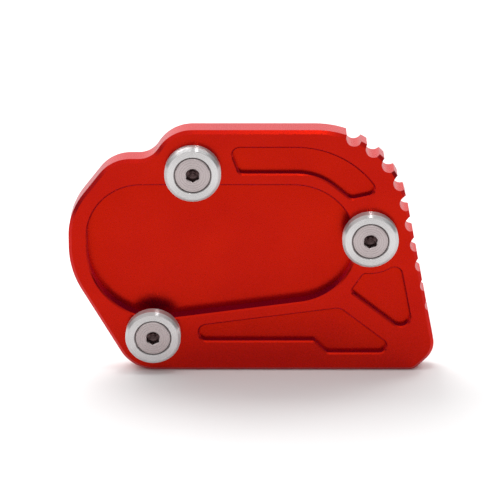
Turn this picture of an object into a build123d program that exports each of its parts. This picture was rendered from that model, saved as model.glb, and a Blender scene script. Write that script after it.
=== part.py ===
from build123d import *
import os
from math import cos, radians, sin, tan

# Kickstand foot enlarger: a milled plate that takes the foot of a side stand in its pocket, and three clamp washers
# that hold the foot down, each with a countersunk screw.
#
# Millimetres, +Z up. The plate stands on its long straight edge at Z = 0. Its pocketed face looks to -Y and its flat
# ground face to +Y. Everything is drawn on the pocketed face as seen from the front: x right, y up, z out of the face.

# Plate
PLATE_W = 100.0             # overall width
PLATE_H = 70.0              # overall height
PLATE_T = 7.0               # thickness
FRONT_CHAMFER = 0.9         # round the pocketed face
BACK_BREAK = 0.4            # round the ground face
POCKET_BREAK = 0.4          # round each pocket

# Left end of the plate: leans are degrees off vertical
LEFT_LOW_Y = 29.7           # where the left side meets the lower slope
LEFT_LOW_LEAN = 29.5
LEFT_LOW_R = 25.0
LEFT_TOP_DROP = 23.7        # where the left side meets the upper slope, below the top
LEFT_TOP_LEAN = 37.9
LEFT_TOP_R = 20.0
LEDGE_DROP = 8.2            # ledge below the top
LEDGE_R = 10.5
STEP_LEAN = 31.3            # slope from the ledge up to the top
STEP_R = 6.2

# Right end of the plate
TOE_Y = 8.0                 # height of the rightmost point
TOE_R = 6.5
TOE_CUT = 45.0              # slope below the toe, degrees
TOE_CUT_R = 3.0
FLANK_LEAN = 11.3
SHOULDER_R = 25.5

# Scallops along the shoulder and down the flank, which get shallower below the full ones
SCALLOP_R = 2.15
SCALLOP_START = 10.7        # from the start of the shoulder to the first centre
SCALLOP_PITCH = 6.15
SCALLOP_COUNT = 10
SCALLOP_FULL = 5
SCALLOP_FADE = 0.32         # each later centre stands this much further out

# Foot pocket
POCKET_DEPTH = 4.0
POCKET_END_X = 39.0         # centre of the round right end, from the right end of the plate
POCKET_END_Y = 2.42         # above the middle of the plate
POCKET_END_R = 17.08
POCKET_SLOPE = 7.7          # lower wall, degrees
POCKET_RIM = 5.1            # left end of the plate beside the pocket

# Shallow recesses that lighten the face; each x is from the end of the plate that is named
RECESS_DEPTH = 2.0

UPPER_RIM = 4.85            # top of the plate above the upper recess
UPPER_WEB = 3.3             # between the foot pocket and the upper recess
UPPER_LEFT_X = 46.45        # lower left corner, from the left end
UPPER_LEFT_LEAN = 20.2
UPPER_LEFT_TOP_R = 2.0
UPPER_LEFT_LOW_R = 1.5
UPPER_BEND_X = 32.3         # where the lower side turns down, from the right end
UPPER_BEND_FALL = 39.4
UPPER_BEND_R = 16.0
UPPER_TIP_X = 23.4          # lowest corner, from the right end
UPPER_TIP_R = 2.0
UPPER_END_RISE = 12.7
UPPER_END_X = 15.7          # right corner, from the right end
UPPER_END_R = 2.0
UPPER_ARCH_LEAN = 36.7
UPPER_ARCH_R = 26.0

CORNER_RIM = 5.15           # flank beside the corner recess
CORNER_LOW_X = 16.5         # a point on the lower left side, from the right end
CORNER_LOW_Y = 18.2
CORNER_LOW_FALL = 38.5
CORNER_LOW_R = 2.6
CORNER_LEFT_X = 20.8        # a point on the left side, from the right end
CORNER_LEFT_Y = 27.0
CORNER_LEFT_LEAN = 33.6
CORNER_LEFT_R = 1.2
CORNER_PAD_LEFT_R = 1.2
CORNER_PAD_RIGHT_R = 2.0

LOWER_WEB = 3.32            # between the foot pocket and the lower recess
LOWER_RIB = 5.65            # between the lower and the corner recess
LOWER_LEFT_X = 35.3         # from the left end
LOWER_LEFT_R = 2.1
LOWER_LEFT_Y = 8.85         # shallow end of the lower side
LOWER_STEP_X = 33.0         # where the lower side steps down, from the right end
LOWER_STEP_FALL = 45.0
LOWER_STEP_R = 1.2
LOWER_RIGHT_Y = 5.25
LOWER_RIGHT_R = 2.05
LOWER_PEAK_R = 3.0

# Clamp washers and screws
SCREW_SETBACK = 3.95        # screw axis outside the pocket wall
UPPER_SCREW_X = 33.95       # from the left end of the plate
LOWER_SCREW_X = 22.7        # from the left end of the plate
OUTER_SCREW_ANGLE = 5.6     # round the pocket's right end, degrees
PAD_R = 10.8                # plate left round a screw where the outline or a recess passes it
WASHER_D = 15.2
WASHER_H = 3.2
WASHER_CHAMFER = 0.65
WASHER_BORE = 5.4
SINK_D = 10.4               # 90 degree countersink at the washer's face
HEAD_D = 9.6
HEAD_BREAK = 0.25
THREAD_D = 5.0
THREAD_CLEARANCE = 0.1      # between the screw and its tapped hole
SCREW_SHORT = 0.2           # screw tip above the ground face
TIP_CHAMFER = 0.5
SOCKET_AF = 3.45            # hexagon across flats
SOCKET_DEPTH = 2.2
SOCKET_MOUTH = 0.25         # lead-in chamfer of the socket
SOCKET_DRILL_D = 3.1        # drilled before the hexagon is broached
SOCKET_DRILL_ANGLE = 118.0  # of the drill's point
SOCKET_SPINS = {"upper": 30.0, "outer": 19.0, "lower": 25.0}

TOUCH = 1e-6                # points closer than this are one point


def side(x, y, angle):
    """Straight side through a point; outlines run counter-clockwise, so the inside is on its left."""
    return Axis((x, y, 0), (cos(radians(angle)), sin(radians(angle)), 0))


def shifted(line, distance):
    """The same side moved inwards."""
    return Axis(line.position + line.direction.rotate(Axis.Z, 90) * distance, line.direction)


def tangent_side(centre, radius, angle):
    """Side that touches a circle lying on its left."""
    return shifted(side(*centre, angle), -radius)


def rounded_edges(sides):
    """Lines and arcs of a closed outline from (side, radius of the corner at its end) pairs.

    Each radius is limited by the length of the two sides that it joins; with no radius the corner stays sharp.
    """
    count = len(sides)
    lines = [line for line, radius in sides]
    corners = [lines[i].intersect(lines[(i + 1) % count]) for i in range(count)]
    turns = [radians(lines[i].direction.get_angle(lines[(i + 1) % count].direction)) for i in range(count)]
    reaches = [radius * tan(turn / 2) for (line, radius), turn in zip(sides, turns)]
    spans = [(corners[i] - corners[i - 1]).length for i in range(count)]
    fits = [min(1, spans[i] / max(reaches[i] + reaches[i - 1], TOUCH)) for i in range(count)]
    reaches = [reaches[i] * min(fits[i], fits[(i + 1) % count]) for i in range(count)]

    edges = []
    for i in range(count):
        start = corners[i - 1] + lines[i].direction * reaches[i - 1]
        bend = corners[i] - lines[i].direction * reaches[i]
        end = corners[i] + lines[(i + 1) % count].direction * reaches[i]
        if (bend - start).length > TOUCH:
            edges.append(Edge.make_line(start, bend))
        if reaches[i] > TOUCH:
            edges.append(Edge.make_tangent_arc(bend, lines[i].direction, end))
    return edges


def rounded_face(sides):
    return Face(Wire(rounded_edges(sides)))


# Walls of the foot pocket, and the screws that stand round it
left_end = -PLATE_W / 2
right_end = PLATE_W / 2
pocket_end = (right_end - POCKET_END_X, PLATE_H / 2 + POCKET_END_Y)
left_side = side(left_end, LEFT_LOW_Y, 270)
lower_wall = tangent_side(pocket_end, POCKET_END_R, POCKET_SLOPE)
end_wall = tangent_side(pocket_end, POCKET_END_R, 90)
upper_wall = tangent_side(pocket_end, POCKET_END_R, 180)
left_wall = shifted(left_side, POCKET_RIM)

screw_ring = POCKET_END_R + SCREW_SETBACK
lower_screw_line = shifted(lower_wall, -SCREW_SETBACK)
SCREWS = {
    "upper": Vector(left_end + UPPER_SCREW_X, pocket_end[1] + screw_ring),
    "outer": Vector(*pocket_end) + Vector(screw_ring, 0).rotate(Axis.Z, OUTER_SCREW_ANGLE),
    "lower": lower_screw_line.intersect(side(left_end + LOWER_SCREW_X, 0, 90)),
}

# Sides of the plate that other features are set out from
toe = (right_end - TOE_R, TOE_Y)
flank = tangent_side(toe, TOE_R, 90 + FLANK_LEAN)
top_side = side(0, PLATE_H, 180)


def plate_edges():
    """Outline of the plate; the upper screw's pad sets where the step rises to the top."""
    pad_reach = PAD_R * tan(radians(90 - STEP_LEAN) / 2)
    return rounded_edges([
        (flank, SHOULDER_R),
        (top_side, PAD_R),
        (side(SCREWS["upper"].X - pad_reach, PLATE_H, 270 - STEP_LEAN), STEP_R),
        (side(0, PLATE_H - LEDGE_DROP, 180), LEDGE_R),
        (side(left_end, PLATE_H - LEFT_TOP_DROP, 270 - LEFT_TOP_LEAN), LEFT_TOP_R),
        (left_side, LEFT_LOW_R),
        (side(left_end, LEFT_LOW_Y, 270 + LEFT_LOW_LEAN), PAD_R),
        (side(0, 0, 0), TOE_CUT_R),
        (tangent_side(toe, TOE_R, TOE_CUT), TOE_R),
    ])


def scallop_centres(path):
    """Cutter centres down the flank and shoulder path, counted from its upper end."""
    for k in range(SCALLOP_COUNT):
        at = path.length - SCALLOP_START - k * SCALLOP_PITCH
        outward = path.tangent_at(at, position_mode=PositionMode.LENGTH).rotate(Axis.Z, -90)
        fade = max(0, k + 1 - SCALLOP_FULL) * SCALLOP_FADE
        yield path.position_at(at, position_mode=PositionMode.LENGTH) + outward * fade


def foot_pocket():
    return rounded_face([
        (lower_wall, POCKET_END_R),
        (end_wall, POCKET_END_R),
        (upper_wall, LEFT_TOP_R - POCKET_RIM),
        (left_wall, LEFT_LOW_R - POCKET_RIM),
    ])


def upper_recess():
    """Band between the foot pocket and the top that bends down round the shoulder."""
    low = pocket_end[1] + POCKET_END_R + UPPER_WEB
    lower_side = side(0, low, 0)
    bend = side(right_end - UPPER_BEND_X, low, -UPPER_BEND_FALL)
    tip = bend.intersect(side(right_end - UPPER_TIP_X, 0, 90))
    end_side = side(tip.X, tip.Y, UPPER_END_RISE)
    end = end_side.intersect(side(right_end - UPPER_END_X, 0, 90))
    return rounded_face([
        (lower_side, UPPER_BEND_R),
        (bend, UPPER_TIP_R),
        (end_side, UPPER_END_R),
        (side(end.X, end.Y, 90 + UPPER_ARCH_LEAN), UPPER_ARCH_R),
        (side(0, PLATE_H - UPPER_RIM, 180), UPPER_LEFT_TOP_R),
        (side(left_end + UPPER_LEFT_X, low, 270 + UPPER_LEFT_LEAN), UPPER_LEFT_LOW_R),
    ])


corner_low_side = side(right_end - CORNER_LOW_X, CORNER_LOW_Y, -CORNER_LOW_FALL)


def corner_recess():
    """Triangle beside the flank, hollowed round the outer screw's pad."""
    pad = SCREWS["outer"]
    triangle = Sketch() + rounded_face([
        (corner_low_side, CORNER_LOW_R),
        (shifted(flank, CORNER_RIM), 0),
        (side(pad.X, pad.Y, 180), 0),
        (side(right_end - CORNER_LEFT_X, CORNER_LEFT_Y, 270 - CORNER_LEFT_LEAN), CORNER_LEFT_R),
    ])
    triangle -= Pos(pad.X, pad.Y) * Circle(PAD_R)
    horns = triangle.vertices().sort_by(Axis.Y)[-2:].sort_by(Axis.X)
    triangle = fillet(horns[0], CORNER_PAD_LEFT_R)
    return fillet(triangle.vertices().sort_by(Axis.Y)[-1], CORNER_PAD_RIGHT_R)


def lower_recess():
    """Long wedge under the foot pocket, deeper at its right end."""
    step = side(right_end - LOWER_STEP_X, LOWER_LEFT_Y, -LOWER_STEP_FALL)
    low_side = side(0, LOWER_RIGHT_Y, 0)
    rib_side = Axis(shifted(corner_low_side, -LOWER_RIB).position, -corner_low_side.direction)
    return rounded_face([
        (side(0, LOWER_LEFT_Y, 0), LOWER_STEP_R),
        (step, LOWER_STEP_R),
        (low_side, LOWER_RIGHT_R),
        (rib_side, LOWER_PEAK_R),
        (Axis(shifted(lower_wall, -LOWER_WEB).position, -lower_wall.direction), LOWER_LEFT_R),
        (side(left_end + LOWER_LEFT_X, 0, 270), LOWER_LEFT_R),
    ])


def base_plate():
    edges = plate_edges()
    plate = Part() + extrude(Face(Wire(edges)), -PLATE_T)
    plate = chamfer(plate.faces().sort_by(Axis.Z)[-1].edges(), FRONT_CHAMFER)
    plate = chamfer(plate.faces().sort_by(Axis.Z)[0].edges(), BACK_BREAK)

    plate -= extrude(foot_pocket(), -POCKET_DEPTH)
    for recess in (upper_recess(), corner_recess(), lower_recess()):
        plate -= extrude(recess, -RECESS_DEPTH)
    rims = [wire.edges() for wire in plate.faces().sort_by(Axis.Z)[-1].inner_wires()]
    plate = chamfer([edge for rim in rims for edge in rim], POCKET_BREAK)

    depth_up = (Align.CENTER, Align.CENTER, Align.MAX)
    for centre in scallop_centres(Wire(edges[:2])):
        plate -= Pos(centre.X, centre.Y) * Cylinder(SCALLOP_R, PLATE_T, align=depth_up)
    for centre in SCREWS.values():
        plate -= Pos(centre.X, centre.Y) * Cylinder(THREAD_D / 2, PLATE_T, align=depth_up)
    return plate


def turned(profile):
    """Solid of revolution round z from (radius, z) points."""
    return revolve(Plane.XZ * make_face(Polyline(*profile, close=True)), Axis.Z)


def clamp_washer():
    outer = WASHER_D / 2
    bore = WASHER_BORE / 2
    sink = SINK_D / 2
    return turned([
        (bore, 0),
        (outer, 0),
        (outer, WASHER_H - WASHER_CHAMFER),
        (outer - WASHER_CHAMFER, WASHER_H),
        (sink, WASHER_H),
        (bore, WASHER_H - (sink - bore)),
    ])


def screw(spin):
    """Countersunk screw, flush with the washer's face and seated on its cone."""
    head = HEAD_D / 2
    shank = THREAD_D / 2 - THREAD_CLEARANCE
    land = WASHER_H - (SINK_D - HEAD_D) / 2
    tip = SCREW_SHORT - PLATE_T
    body = turned([
        (0, WASHER_H),
        (head - HEAD_BREAK, WASHER_H),
        (head, WASHER_H - HEAD_BREAK),
        (head, land),
        (shank, land - (head - shank)),
        (shank, tip + TIP_CHAMFER),
        (shank - TIP_CHAMFER, tip),
        (0, tip),
    ])
    face = Pos(0, 0, WASHER_H)
    socket = Rot(0, 0, spin) * RegularPolygon(SOCKET_AF / 2, 6, major_radius=False)
    corner = SOCKET_AF / 2 / cos(radians(30))
    mouth = Cone(corner - SOCKET_MOUTH, corner + SOCKET_MOUTH, 2 * SOCKET_MOUTH)
    drill = SOCKET_DRILL_D / 2
    point = turned([
        (0, -SOCKET_DEPTH),
        (drill, -SOCKET_DEPTH),
        (0, -SOCKET_DEPTH - drill / tan(radians(SOCKET_DRILL_ANGLE / 2))),
    ])
    return body - face * extrude(socket, -SOCKET_DEPTH) - face * mouth - face * point


# Each node in its place on the plate's face
face_y = (WASHER_H - PLATE_T) / 2
FACE = Plane(origin=(0, face_y, 0), x_dir=(1, 0, 0), z_dir=(0, -1, 0))
nodes = {"base_plate": base_plate()}
for name, centre in SCREWS.items():
    nodes[f"{name}_washer"] = Pos(centre.X, centre.Y) * clamp_washer()
    nodes[f"{name}_screw"] = Pos(centre.X, centre.Y) * screw(SOCKET_SPINS[name])

os.makedirs("parts", exist_ok=True)
for name, shape in nodes.items():
    export_step(FACE * shape, f"parts/{name}.step")
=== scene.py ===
# %% [markdown]
# # A kickstand foot enlarger
#
# The part is a red anodised plate that widens the foot of a motorbike's side stand. Three turned
# washers reach over the edge of its pocket and clamp the foot, each with a countersunk screw. The
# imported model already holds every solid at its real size, in metres, with +Z up and the pocketed
# face towards -Y. This script gives the solids their finishes, winds the threads of the screws, and
# sets up the floor, the light and the camera.

# %% Load the frame
from math import ceil, cos, hypot, pi, radians, sin

import bpy
import bmesh
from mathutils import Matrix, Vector


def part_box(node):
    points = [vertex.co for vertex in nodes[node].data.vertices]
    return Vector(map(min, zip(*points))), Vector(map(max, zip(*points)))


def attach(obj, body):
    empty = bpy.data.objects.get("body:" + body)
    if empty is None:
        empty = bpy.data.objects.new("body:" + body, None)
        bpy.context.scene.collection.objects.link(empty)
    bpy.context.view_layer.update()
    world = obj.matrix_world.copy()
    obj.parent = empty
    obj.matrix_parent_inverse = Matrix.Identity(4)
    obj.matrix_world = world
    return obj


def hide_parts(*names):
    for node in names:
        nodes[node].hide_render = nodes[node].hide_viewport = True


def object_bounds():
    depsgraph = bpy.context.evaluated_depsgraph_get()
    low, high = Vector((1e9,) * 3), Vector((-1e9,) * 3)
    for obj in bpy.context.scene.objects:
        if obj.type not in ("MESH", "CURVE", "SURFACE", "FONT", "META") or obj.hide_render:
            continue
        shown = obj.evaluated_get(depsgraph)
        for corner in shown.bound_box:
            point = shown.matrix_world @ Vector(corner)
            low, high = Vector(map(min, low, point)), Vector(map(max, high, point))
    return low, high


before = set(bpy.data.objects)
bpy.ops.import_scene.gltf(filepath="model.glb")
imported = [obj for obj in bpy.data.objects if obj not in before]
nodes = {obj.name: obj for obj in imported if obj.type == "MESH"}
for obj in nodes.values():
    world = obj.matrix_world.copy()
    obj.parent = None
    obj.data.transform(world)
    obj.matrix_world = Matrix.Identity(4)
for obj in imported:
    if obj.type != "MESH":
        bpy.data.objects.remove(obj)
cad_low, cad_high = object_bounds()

MM = 0.001
scene = bpy.context.scene
scene.view_settings.view_transform = "Standard"
print("CAD nodes:", ", ".join(sorted(nodes)))
print("CAD box in mm:", [round(x / MM, 2) for x in cad_high - cad_low])

# %% [markdown]
# ## Helpers for node trees
#
# A finish is a small graph of shader nodes. Blender's own way to write one is a line for each node
# and a line for each link, which soon hides what the graph means. A few helpers keep it readable:
# add makes a node and fills its sockets by name, and add_in_order fills them one after the other,
# for nodes whose sockets share a name. Between turns a share from 0 to 1 into a value.


# %% Add nodes, start and close a material
def fill(tree, socket, value):
    """Link another node's output to a socket, or set the socket to a plain value."""
    if isinstance(value, bpy.types.NodeSocket):
        tree.links.new(value, socket)
    else:
        socket.default_value = value


def add(tree, kind, settings=None, **sockets):
    """A node of that kind. Settings are its properties, and _ in a socket's name is a space."""
    node = tree.nodes.new(kind)
    for name, value in (settings or {}).items():
        setattr(node, name, value)
    for name, value in sockets.items():
        fill(tree, node.inputs[name.replace("_", " ")], value)
    return node


def add_in_order(tree, kind, settings, *values):
    """A node whose first sockets take the values in turn."""
    node = add(tree, kind, settings)
    for socket, value in zip(node.inputs, values):
        fill(tree, socket, value)
    return node


def between(tree, share, first, last):
    """A value that goes from the first to the last as the share goes from 0 to 1."""
    node = add(tree, "ShaderNodeMapRange", Value=share, To_Min=first, To_Max=last)
    return node.outputs["Result"]


def start_material(name):
    """An empty material and its node tree."""
    material = bpy.data.materials.new(name)
    material.use_nodes = True
    material.node_tree.nodes.clear()
    return material, material.node_tree


def close_material(tree, shader):
    """Send a shader to the material's output."""
    add(tree, "ShaderNodeOutputMaterial", Surface=shader)


def dress(piece, material):
    """Give a piece its one finish."""
    piece.data.materials.clear()
    piece.data.materials.append(material)


# %% [markdown]
# ## Red anodise
#
# Anodising grows a thin dyed layer of oxide on the aluminium. Light goes through the dye, off the
# metal and out again, so the whole reflection is red, and only at a grazing angle it turns white. A
# metallic shader with a deep red base does that by itself. A weak coat adds the gloss of the oxide.
# Red dye also scatters a trace of violet, which shows where the metal mirrors something dark, so a
# faint tinted sheen adds it. Bead blasting before the bath leaves a fine even grain and a satin
# gloss, here a noise in the bump and in the roughness, and the dye takes a little unevenly.


# %% Make the red anodise
ANODISE_LIGHT = (0.615, 0.0135, 0.0, 1)
ANODISE_DEEP = (0.565, 0.0105, 0.0, 1)
CLOUD_SCALE = 60.0
CLOUD_DETAIL = 3.0
CLOUD_DEEP = 0.3
CLOUD_LIGHT = 0.7
OXIDE_GLOSS = 0.04
OXIDE_ROUGH = 0.1
DYE_SCATTER = (0.35, 0.0, 1.0, 1)
SCATTER_SHARE = 0.03
SCATTER_ROUGH = 0.8
GRAIN_SCALE = 4500.0
GRAIN_DETAIL = 2.0
GRAIN_DEPTH = 0.02 * MM
GRAIN_STRENGTH = 0.05
ANODISE_SMOOTH = 0.23
ANODISE_ROUGH = 0.33


def noise(tree, place, scale, detail):
    """A noise from 0 to 1, with so many lumps to the metre."""
    node = add(tree, "ShaderNodeTexNoise", Vector=place, Scale=scale, Detail=detail)
    return node.outputs["Fac"]


def red_anodise():
    """The finish of the plate."""
    material, tree = start_material("red_anodise")
    place = add(tree, "ShaderNodeTexCoord").outputs["Object"]
    grain = noise(tree, place, GRAIN_SCALE, GRAIN_DETAIL)
    cloud = noise(tree, place, CLOUD_SCALE, CLOUD_DETAIL)
    dye = add(tree, "ShaderNodeValToRGB", Fac=cloud)
    deep, light = dye.color_ramp.elements
    deep.position = CLOUD_DEEP
    deep.color = ANODISE_DEEP
    light.position = CLOUD_LIGHT
    light.color = ANODISE_LIGHT
    gloss = between(tree, grain, ANODISE_SMOOTH, ANODISE_ROUGH)
    relief = add(tree, "ShaderNodeBump", Height=grain, Strength=GRAIN_STRENGTH, Distance=GRAIN_DEPTH)
    shader = add(
        tree, "ShaderNodeBsdfPrincipled",
        Base_Color=dye.outputs["Color"], Metallic=1.0, Roughness=gloss, Normal=relief.outputs["Normal"],
        Coat_Weight=OXIDE_GLOSS, Coat_Roughness=OXIDE_ROUGH,
        Sheen_Weight=SCATTER_SHARE, Sheen_Roughness=SCATTER_ROUGH, Sheen_Tint=DYE_SCATTER,
    )
    close_material(tree, shader.outputs["BSDF"])
    return material


dress(nodes["base_plate"], red_anodise())
print("base_plate wears", nodes["base_plate"].data.materials[0].name)

# %% [markdown]
# ## Turned metal
#
# A lathe tool leaves fine rings round the axis. On a face they lie one in the other, and on an edge
# side by side. They are too fine to model, but they smear a reflection across the rings and leave it
# sharp along them, so a lamp overhead turns into a streak over the edge. The shader's anisotropy
# does that, with a Tangent node that runs round the axis. The coarser rings of a face are a wave
# texture in the bump, which turns through 20 radians in a metre at a scale of 1. It counts the
# distance from the axis, so a Mapping node first moves the coordinates, which start at the frame's
# origin, to the piece's own axis.


# %% Cut the turning rings
WAVE_RATE = 20
RING_WANDER = 0.6
RING_DETAIL = 2.0


def middle_of(name):
    """The middle of a CAD node's box."""
    low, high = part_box(name)
    return (low + high) / 2


def centred_place(tree, name):
    """Object coordinates, counted from the middle of a CAD node."""
    place = add(tree, "ShaderNodeTexCoord").outputs["Object"]
    return add(tree, "ShaderNodeMapping", Vector=place, Location=-middle_of(name)).outputs["Vector"]


def turning_rings(tree, place, pitch, depth):
    """The ring pattern, and a normal with the rings cut in."""
    rings = add(
        tree, "ShaderNodeTexWave", {"wave_type": "RINGS", "rings_direction": "Y"},
        Vector=place, Scale=2 * pi / (WAVE_RATE * pitch), Distortion=RING_WANDER, Detail=RING_DETAIL,
    ).outputs["Fac"]
    return rings, add(tree, "ShaderNodeBump", Height=rings, Distance=depth).outputs["Normal"]


for name in sorted(nodes):
    if name != "base_plate":
        axis = middle_of(name) / MM
        print(f"{name} is turned about x {axis.x:.2f}, z {axis.z:.2f} mm")

# %% [markdown]
# ## Painted shade in the crevices
#
# Shade is painted into the colour of the metal where it falls into shade: in the socket of a screw and
# in the groove round its head. There the metal is darker. A soft ball of painted shade fills the
# socket.
# In the washer, the countersink darkens from its edge inwards, also painted shade. Both are one
# measured distance, turned into a share from 0 to 1 by a Map Range node.


# %% Paint shade into the crevices
QUARTER_TURN = 0.25


def ball_share(tree, place, centre, inner, outer):
    """1 within the inner radius of a point, 0 outside the outer one."""
    away = add_in_order(tree, "ShaderNodeVectorMath", {"operation": "DISTANCE"}, place, centre)
    return add(
        tree, "ShaderNodeMapRange", Value=away.outputs["Value"],
        From_Min=inner, From_Max=outer, To_Min=1.0, To_Max=0.0,
    ).outputs["Result"]


def bore_share(tree, place, inner, outer):
    """1 within the inner radius of the axis, 0 outside the outer one."""
    flat = add_in_order(tree, "ShaderNodeVectorMath", {"operation": "MULTIPLY"}, place, (1, 0, 1))
    return ball_share(tree, flat.outputs["Vector"], (0, 0, 0), inner, outer)


def turned_metal(tree, colour, shade_and_ring_colour, rings, trace, painted_shade, gloss, normal, spread):
    """Close a turned finish: painted shade in the crevice, the rings a trace darker, smeared by spread.
    """
    share = add_in_order(tree, "ShaderNodeMath", {"operation": "MULTIPLY_ADD"}, rings, trace, painted_shade)
    tone = add(tree, "ShaderNodeValToRGB", Fac=share.outputs["Value"])
    # The dark end of the ramp is painted shade where the crevice share is 1, and the darker tone of the
    # rings.
    bare_end, shade_and_ring_end = tone.color_ramp.elements
    bare_end.color = colour
    shade_and_ring_end.color = shade_and_ring_colour
    around = add(tree, "ShaderNodeTangent", {"direction_type": "RADIAL", "axis": "Y"})
    shader = add(
        tree, "ShaderNodeBsdfPrincipled",
        Base_Color=tone.outputs["Color"], Metallic=1.0, Roughness=gloss, Normal=normal,
        Anisotropic=spread, Anisotropic_Rotation=QUARTER_TURN, Tangent=around.outputs["Tangent"],
    )
    close_material(tree, shader.outputs["BSDF"])


print("Turned metal has", len(nodes) - 1, "pieces to finish")

# %% [markdown]
# ## Washers
#
# The washers are clear anodised aluminium, turned all over, so they are pale. Their faces were cut
# with a finer feed than their edges and chamfers, so the edges are rougher and draw the longer
# streaks.

# %% Finish the washers
WASHER_COLOUR = (0.8, 0.78, 0.78, 1)
# The dark colour is painted shade in the countersink, and the darker tone of the rings.
WASHER_DARK = (0.16, 0.14, 0.14, 1)
WASHER_PITCH = 0.5 * MM
WASHER_RELIEF = 0.003 * MM
WASHER_TRACE = 0.06
WASHER_SPREAD = 1.0
SINK_RADIUS = 5.2 * MM
# The painted shade in the countersink fades in over this width inside its edge.
GROOVE_FADE = 0.35 * MM
EDGE_INNER = 6.6 * MM
EDGE_OUTER = 7.0 * MM
EDGE_ROUGH = 0.37
FACE_ROUGH = 0.25


def washer_finish(name):
    """The finish of one washer, round its own axis."""
    material, tree = start_material(f"{name}_turned")
    place = centred_place(tree, name)
    rings, normal = turning_rings(tree, place, WASHER_PITCH, WASHER_RELIEF)
    # Painted shade: the countersink darkens inwards from its edge.
    painted_shade = bore_share(tree, place, SINK_RADIUS - GROOVE_FADE, SINK_RADIUS)
    face = bore_share(tree, place, EDGE_INNER, EDGE_OUTER)
    gloss = between(tree, face, EDGE_ROUGH, FACE_ROUGH)
    turned_metal(
        tree, WASHER_COLOUR, WASHER_DARK, rings, WASHER_TRACE, painted_shade, gloss, normal, WASHER_SPREAD,
    )
    return material


for name in sorted(nodes):
    if name.endswith("_washer"):
        dress(nodes[name], washer_finish(name))
        print(name, "wears", nodes[name].data.materials[0].name)

# %% [markdown]
# ## Screws
#
# The screws are plain stainless steel with a turned face. The steel is a little darker and warmer
# than the washers, and the rings on it are coarser. The soft ball of painted shade sits in the socket,
# some way under the face.

# %% Finish the screws
SCREW_COLOUR = (0.6, 0.52, 0.52, 1)
# The dark colour is painted shade in the socket, and the darker tone of the rings.
SOCKET_DARK = (0.17, 0.11, 0.11, 1)
SCREW_PITCH = 0.65 * MM
SCREW_RELIEF = 0.012 * MM
SCREW_TRACE = 0.14
SCREW_SPREAD = 0.6
SCREW_SMOOTH = 0.25
SCREW_ROUGH = 0.35
# The ball of painted shade sits this far under the face, between these two radii.
SOCKET_MIDDLE = 2.1 * MM
SOCKET_INNER = 1.9 * MM
SOCKET_OUTER = 2.25 * MM


def screw_finish(name):
    """The finish of one screw, round its own axis."""
    material, tree = start_material(f"{name}_steel")
    place = centred_place(tree, name)
    rings, normal = turning_rings(tree, place, SCREW_PITCH, SCREW_RELIEF)
    low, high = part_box(name)
    middle = (0, (low.y - high.y) / 2 + SOCKET_MIDDLE, 0)
    # Painted shade: a soft ball of it fills the socket.
    painted_shade = ball_share(tree, place, middle, SOCKET_INNER, SOCKET_OUTER)
    gloss = between(tree, rings, SCREW_SMOOTH, SCREW_ROUGH)
    turned_metal(
        tree, SCREW_COLOUR, SOCKET_DARK, rings, SCREW_TRACE, painted_shade, gloss, normal, SCREW_SPREAD,
    )
    return material


screws = [name for name in sorted(nodes) if name.endswith("_screw")]
print("Screws:", ", ".join(screws))

# %% [markdown]
# ## Screw threads
#
# The solid screws have plain shanks. A real one carries an M5 thread, a ridge with 60 degree flanks
# that climbs 0.8 mm with each turn. A Screw modifier could wind it. Here bmesh.ops.spin does it in
# one call, because it can shift the profile a little at each step while it turns it. The profile is
# one pitch long, so each turn ends where the next one starts, and the two are welded. Two planes cut
# the ends, and the tip is drawn in to a chamfer.


# %% Wind a thread
THREAD_PITCH = 0.8 * MM
THREAD_RADIUS = 2.38 * MM
THREAD_DEPTH = 0.49 * MM
ROOT_FLAT = THREAD_PITCH / 6
CREST_FLAT = THREAD_PITCH / 8
STEPS_A_TURN = 40
RUN_IN = 2 * THREAD_PITCH
TIP_CHAMFER = 0.5 * MM
WELD = 0.001 * MM
CUT_MARGIN = WELD / 10


def cut_away(shape, y, side):
    """Cut a shape at a level of Y and drop what lies on that side of it."""
    bmesh.ops.bisect_plane(
        shape, geom=shape.verts[:] + shape.edges[:] + shape.faces[:],
        plane_co=(0, y, 0), plane_no=(0, side, 0), dist=CUT_MARGIN, clear_outer=True,
    )


def wind_thread(shape, axis, start, end):
    """A thread round an axis along Y, from one level of Y to another, open at both ends."""
    root = THREAD_RADIUS - THREAD_DEPTH
    rise = (THREAD_PITCH + ROOT_FLAT - CREST_FLAT) / 2
    profile = [(root, 0), (root, ROOT_FLAT), (THREAD_RADIUS, rise)]
    profile += [(THREAD_RADIUS, rise + CREST_FLAT), (root, THREAD_PITCH)]
    first = start - RUN_IN
    turns = ceil((end - first) / THREAD_PITCH) + 1
    corners = [shape.verts.new((axis.x + radius, first + climb, axis.z)) for radius, climb in profile]
    line = [shape.edges.new(pair) for pair in zip(corners, corners[1:])]
    bmesh.ops.spin(
        shape, geom=corners + line, cent=axis, axis=(0, 1, 0), angle=2 * pi * turns,
        steps=turns * STEPS_A_TURN, dvec=(0, THREAD_PITCH / STEPS_A_TURN, 0),
    )
    bmesh.ops.remove_doubles(shape, verts=shape.verts, dist=WELD)
    cut_away(shape, start, -1)
    cut_away(shape, end, 1)


def draw_in_tip(shape, axis, end):
    """Chamfer the thread towards its end."""
    for vert in shape.verts:
        reach = hypot(vert.co.x - axis.x, vert.co.z - axis.z)
        room = THREAD_RADIUS - TIP_CHAMFER + end - vert.co.y
        if reach > room:
            vert.co.x = axis.x + (vert.co.x - axis.x) * room / reach
            vert.co.z = axis.z + (vert.co.z - axis.z) * room / reach


print(f"Thread: pitch {THREAD_PITCH / MM:.2f} mm, {2 * THREAD_RADIUS / MM:.2f} mm across")

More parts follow.
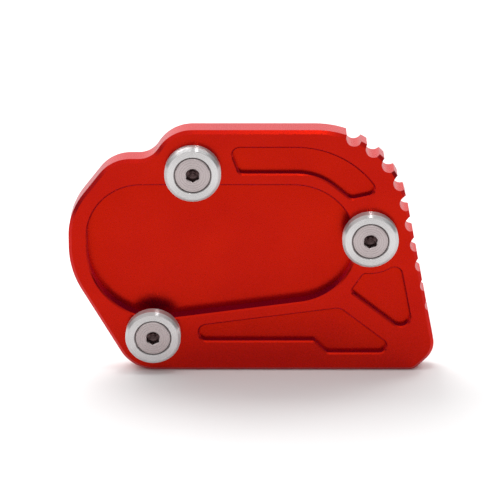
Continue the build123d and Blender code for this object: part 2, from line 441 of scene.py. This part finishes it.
# %% [markdown]
# ## Join the thread to the head
#
# The head with its socket is right in the solid, so a copy of it is welded, cut off below its cone
# and kept. The open rim of its neck and the open start of the thread lie in one plane, one inside
# the other, so triangle_fill closes the ring between them, and one face closes the tip. The copy
# still holds the normals of the import, which don't fit the welded mesh, so they go, and the shading
# is set anew: smooth, with every edge over 30 degrees sharp.


# %% Make the threaded screws
NECK_DEPTH = 3.3 * MM
SHARP_ANGLE = radians(30)
IMPORTED_NORMALS = "custom_normal"


def open_edges(shape, y):
    """The edges with one face at a level of Y."""
    return [e for e in shape.edges if e.is_boundary and all(abs(v.co.y - y) < WELD for v in e.verts)]


def screw_head(name, neck):
    """A mesh of the solid's head, cut off at the neck."""
    shape = bmesh.new()
    shape.from_mesh(nodes[name].data)
    bmesh.ops.remove_doubles(shape, verts=shape.verts, dist=WELD)
    cut_away(shape, neck, 1)
    mesh = bpy.data.meshes.new(f"{name}_threaded")
    shape.to_mesh(mesh)
    shape.free()
    return mesh


def thread_head(mesh, axis, neck, end):
    """Add the thread to a head's mesh, and return how many edges stay open."""
    shape = bmesh.new()
    wind_thread(shape, axis, neck, end)
    draw_in_tip(shape, axis, end)
    bmesh.ops.edgeloop_fill(shape, edges=open_edges(shape, end))
    shape.from_mesh(mesh)
    bmesh.ops.triangle_fill(shape, use_beauty=True, edges=open_edges(shape, neck))
    bmesh.ops.recalc_face_normals(shape, faces=shape.faces)
    still_open = sum(not edge.is_manifold for edge in shape.edges)
    shape.to_mesh(mesh)
    shape.free()
    return still_open


def threaded_screw(name):
    """A screw with its thread, which stands for the plain one."""
    low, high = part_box(name)
    neck = low.y + NECK_DEPTH
    mesh = screw_head(name, neck)
    still_open = thread_head(mesh, middle_of(name), neck, high.y)
    mesh.attributes.remove(mesh.attributes[IMPORTED_NORMALS])
    mesh.shade_smooth()
    mesh.set_sharp_from_angle(angle=SHARP_ANGLE)
    piece = bpy.data.objects.new(f"{name}_threaded", mesh)
    scene.collection.objects.link(piece)
    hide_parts(name)
    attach(piece, "root")
    print(piece.name, "faces:", len(mesh.polygons), "open edges:", still_open)
    return piece


for name in screws:
    dress(threaded_screw(name), screw_finish(name))

# %% [markdown]
# ## Floor
#
# The part stands on white paper that takes its shadow. In a picture exposed for the metal, such
# paper burns out to pure white away from the part. So with the distance the floor fades to an even
# white, for the rays that come from the camera and for those that metal or glass sends on, but not
# for the light that the paper scatters. Near the part it is a plain diffuse white. The metal mirrors
# it a shade greyer than the camera sees it, with the shadow a little lightened by a faint glow.


# %% Make the white paper
PAPER_SEEN = 0.92
PAPER_MIRRORED = 0.65
PAPER_GLOW = 0.11
FADE_START = 0.25
FADE_END = 0.6
WHITE = (1, 1, 1, 1)


def ramp(tree, value, low, high, first, last):
    """A soft step of a value from one level to another."""
    return add(
        tree, "ShaderNodeMapRange", {"interpolation_type": "SMOOTHSTEP"},
        Value=value, From_Min=low, From_Max=high, To_Min=first, To_Max=last,
    ).outputs["Result"]


def combine(tree, operation, first, second):
    """A Math node on two sockets."""
    node = add_in_order(tree, "ShaderNodeMath", {"operation": operation}, first, second)
    return node.outputs["Value"]


def white_paper():
    """The finish of the floor."""
    material, tree = start_material("white_paper")
    place = add(tree, "ShaderNodeTexCoord").outputs["Object"]
    length = add_in_order(tree, "ShaderNodeVectorMath", {"operation": "LENGTH"}, place)
    fade = ramp(tree, length.outputs["Value"], FADE_START, FADE_END, 0.0, 1.0)
    path = add(tree, "ShaderNodeLightPath").outputs
    from_camera = path["Is Camera Ray"]
    sent_on = combine(tree, "MAXIMUM", path["Is Glossy Ray"], path["Is Transmission Ray"])
    seen = combine(tree, "MAXIMUM", from_camera, sent_on)
    far = combine(tree, "MULTIPLY", seen, fade)
    shade = between(tree, from_camera, PAPER_MIRRORED, PAPER_SEEN)
    paper = add(tree, "ShaderNodeBsdfDiffuse", Color=shade).outputs["BSDF"]
    lift = between(tree, from_camera, PAPER_GLOW, 0.0)
    glow = add(tree, "ShaderNodeEmission", Color=WHITE, Strength=lift).outputs["Emission"]
    near = add_in_order(tree, "ShaderNodeAddShader", None, paper, glow).outputs["Shader"]
    white = add(tree, "ShaderNodeEmission", Color=WHITE, Strength=1.0).outputs["Emission"]
    both = add_in_order(tree, "ShaderNodeMixShader", None, far, near, white)
    close_material(tree, both.outputs["Shader"])
    return material


paper_material = white_paper()
print(paper_material.name, "fades to plain white from", FADE_START, "to", FADE_END, "m")

# %% Lay the floor
FLOOR_SIZE = 6.0

floor_mesh = bpy.data.meshes.new("floor")
sheet = bmesh.new()
bmesh.ops.create_grid(sheet, x_segments=1, y_segments=1, size=FLOOR_SIZE / 2)
sheet.to_mesh(floor_mesh)
sheet.free()
floor = bpy.data.objects.new("floor", floor_mesh)
scene.collection.objects.link(floor)
dress(floor, paper_material)
print("Floor:", FLOOR_SIZE, "m square")

# %% [markdown]
# ## The room
#
# Metal shows what stands round it, so the room matters as much as the lamps. It is dim at eye level
# and bright overhead, as under a white canopy, and darker to the right and behind the camera. A
# white backdrop stands behind the part, and the metal mirrors it. A picture of a studio could light
# the part as well. A few ramps over the direction are simpler, and each of them can be tuned by
# itself. A ramp starts and ends at a level of the direction along one axis, from -1 to 1. The camera
# sees plain white in every direction.


# %% Light the room
ROOM_LOW = 0.17
ROOM_HIGH = 0.88
CANOPY_START = 0.05
CANOPY_END = 0.6
ROOM_RIGHT = 0.6
RIGHT_START = 0.2
RIGHT_END = 0.8
ROOM_FRONT = 0.42
FRONT_START = -0.5
FRONT_END = -0.95
BACKDROP = 1.25
BACKDROP_START = 0.0
BACKDROP_END = 0.6


def light_room():
    """The world: the room for every ray but the camera's own."""
    world = bpy.data.worlds.new("studio")
    scene.world = world
    world.use_nodes = True
    tree = world.node_tree
    tree.nodes.clear()
    direction = add(tree, "ShaderNodeTexCoord").outputs["Generated"]
    axes = add(tree, "ShaderNodeSeparateXYZ", Vector=direction).outputs
    canopy = ramp(tree, axes["Z"], CANOPY_START, CANOPY_END, ROOM_LOW, ROOM_HIGH)
    to_right = ramp(tree, axes["X"], RIGHT_START, RIGHT_END, 1.0, ROOM_RIGHT)
    to_front = ramp(tree, axes["Y"], FRONT_END, FRONT_START, ROOM_FRONT, 1.0)
    backdrop = ramp(tree, axes["Y"], BACKDROP_START, BACKDROP_END, 0.0, BACKDROP)
    dimmed = combine(tree, "MULTIPLY", canopy, combine(tree, "MULTIPLY", to_right, to_front))
    level = combine(tree, "MAXIMUM", dimmed, backdrop)
    room = add(tree, "ShaderNodeBackground", Color=WHITE, Strength=level).outputs["Background"]
    white = add(tree, "ShaderNodeBackground", Color=WHITE, Strength=1.0).outputs["Background"]
    from_camera = add(tree, "ShaderNodeLightPath").outputs["Is Camera Ray"]
    both = add_in_order(tree, "ShaderNodeMixShader", None, from_camera, room, white)
    add(tree, "ShaderNodeOutputWorld", Surface=both.outputs["Shader"])
    return world


print("World:", light_room().name)

# %% [markdown]
# ## Lamps
#
# Two soft boxes hang behind the part, the left one larger and stronger, so its shadow falls to the
# front and a little to the right. A small lamp overhead, just in front of the plate, draws the bright
# streaks on the turned edges.


# %% Hang the lamps
def hang_lamp(name, place, width, depth, power):
    """An area lamp that shines straight down, in metres and watts."""
    data = bpy.data.lights.new(name, "AREA")
    data.shape = "RECTANGLE"
    data.size = width
    data.size_y = depth
    data.energy = power
    lamp = bpy.data.objects.new(name, data)
    scene.collection.objects.link(lamp)
    lamp.location = place
    print(name, "at", place, "with", power, "W")


hang_lamp("left_box", place=(-0.55, 0.5, 0.9), width=0.92, depth=0.6, power=7.9)
hang_lamp("right_box", place=(0.6, 0.5, 0.9), width=0.5, depth=0.5, power=2.5)
hang_lamp("small_lamp", place=(0.043, -0.041, 0.37), width=0.03, depth=0.03, power=0.115)

# %% [markdown]
# ## Camera
#
# The camera looks at the pocketed face from the front, a little from above, with a long lens. Its
# place was fitted to the washers, which show as ellipses, and to the straight edge that the plate
# stands on.

# %% Set the camera
CAMERA_RISE = radians(21.63)
CAMERA_DISTANCE = 701.75 * MM
CAMERA_AIM = Vector((-0.68 * MM, cad_low.y, 37.14 * MM))
CAMERA_LENS = 186.84
SENSOR_WIDTH = 36
CLIP_START = 0.01

camera_data = bpy.data.cameras.new("camera")
camera_data.sensor_width = SENSOR_WIDTH
camera_data.lens = CAMERA_LENS
camera_data.clip_start = CLIP_START
camera = bpy.data.objects.new("camera", camera_data)
scene.collection.objects.link(camera)
back = Vector((0, -cos(CAMERA_RISE), sin(CAMERA_RISE)))
camera.location = CAMERA_AIM + back * CAMERA_DISTANCE
camera.rotation_mode = "QUATERNION"
camera.rotation_quaternion = (-back).to_track_quat("-Z", "Y")
scene.camera = camera
print("Camera at", [round(x, 4) for x in camera.location])
